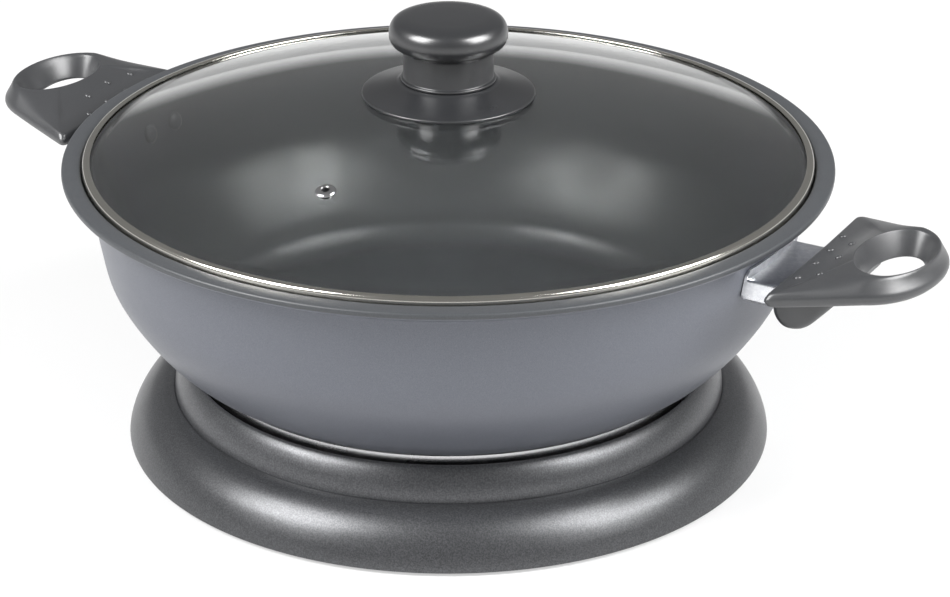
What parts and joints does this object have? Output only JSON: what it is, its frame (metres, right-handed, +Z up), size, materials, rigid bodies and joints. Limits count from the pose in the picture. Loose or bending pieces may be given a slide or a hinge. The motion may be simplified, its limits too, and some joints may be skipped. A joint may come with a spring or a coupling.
{
  "type": "electric wok",
  "caption": "Round electric wok with a domed glass lid, two side grips, a lift-off metal bowl and a flared base with a rear inlet.",
  "frame": {"origin": "on the table, under the centre of the round base", "axes": "+X through the right handle, +Y towards the power inlet at the back, +Z up"},
  "size_m": [0.4676, 0.34, 0.1965],
  "materials": {
    "base_plastic": "fine speckled charcoal plastic",
    "collar_plastic": "fine speckled grey plastic",
    "grip_plastic": "satin black bakelite",
    "knob_plastic": "satin dark plastic",
    "metallic_paint": "satin blue-grey metallic paint outside, dark non-stick inside",
    "steel": "bright steel",
    "bare_aluminium": "satin bare aluminium",
    "ceramic": "unglazed ceramic",
    "nickel_pin": "nickel-plated brass",
    "rubber": "matt rubber",
    "silicone": "matt silicone",
    "socket_plastic": "matt heat-resistant plastic",
    "glass": "clear tempered glass"
  },
  "bodies": {
    "base": {"base_skirt": "base_plastic", "collar_ring": "collar_plastic", "base_bottom_plate": "base_plastic", "heat_shield": "bare_aluminium", "support_pad_1": "silicone", "support_pad_2": "silicone", "support_pad_3": "silicone", "support_pad_4": "silicone", "foot_1": "rubber", "foot_2": "rubber", "foot_3": "rubber", "foot_4": "rubber", "bottom_screw_1": "steel", "bottom_screw_2": "steel", "bottom_screw_3": "steel", "bottom_screw_4": "steel", "shield_screw_1": "steel", "shield_screw_2": "steel", "shield_screw_3": "steel"},
    "pan": {"pan_bowl": "metallic_paint", "heating_element": "steel", "socket_shroud": "socket_plastic", "terminal_block": "ceramic", "terminal_pin_1": "nickel_pin", "terminal_pin_2": "nickel_pin", "earth_pin": "nickel_pin", "probe_sleeve": "steel", "shroud_screw_1": "steel", "shroud_screw_2": "steel", "handle_bracket_left": "bare_aluminium", "handle_bracket_right": "bare_aluminium", "bracket_rivet_left_1": "bare_aluminium", "bracket_rivet_left_2": "bare_aluminium", "bracket_rivet_right_1": "bare_aluminium", "bracket_rivet_right_2": "bare_aluminium", "handle_grip_left": "grip_plastic", "handle_grip_right": "grip_plastic", "grip_screw_left": "steel", "grip_screw_right": "steel"},
    "lid": {"lid_glass": "glass", "lid_band": "steel", "vent_eyelet": "steel", "knob": "knob_plastic", "knob_skirt": "knob_plastic", "knob_washer": "silicone", "knob_screw": "steel"}
  },
  "joints": [
    {"name": "pan_lift", "type": "slide", "parent": "base", "child": "pan", "axis": [0, 0, 1], "range_m": [0, 0.09]},
    {"name": "lid_lift", "type": "slide", "parent": "pan", "child": "lid", "axis": [0, 0, 1], "range_m": [0, 0.12]}
  ]
}
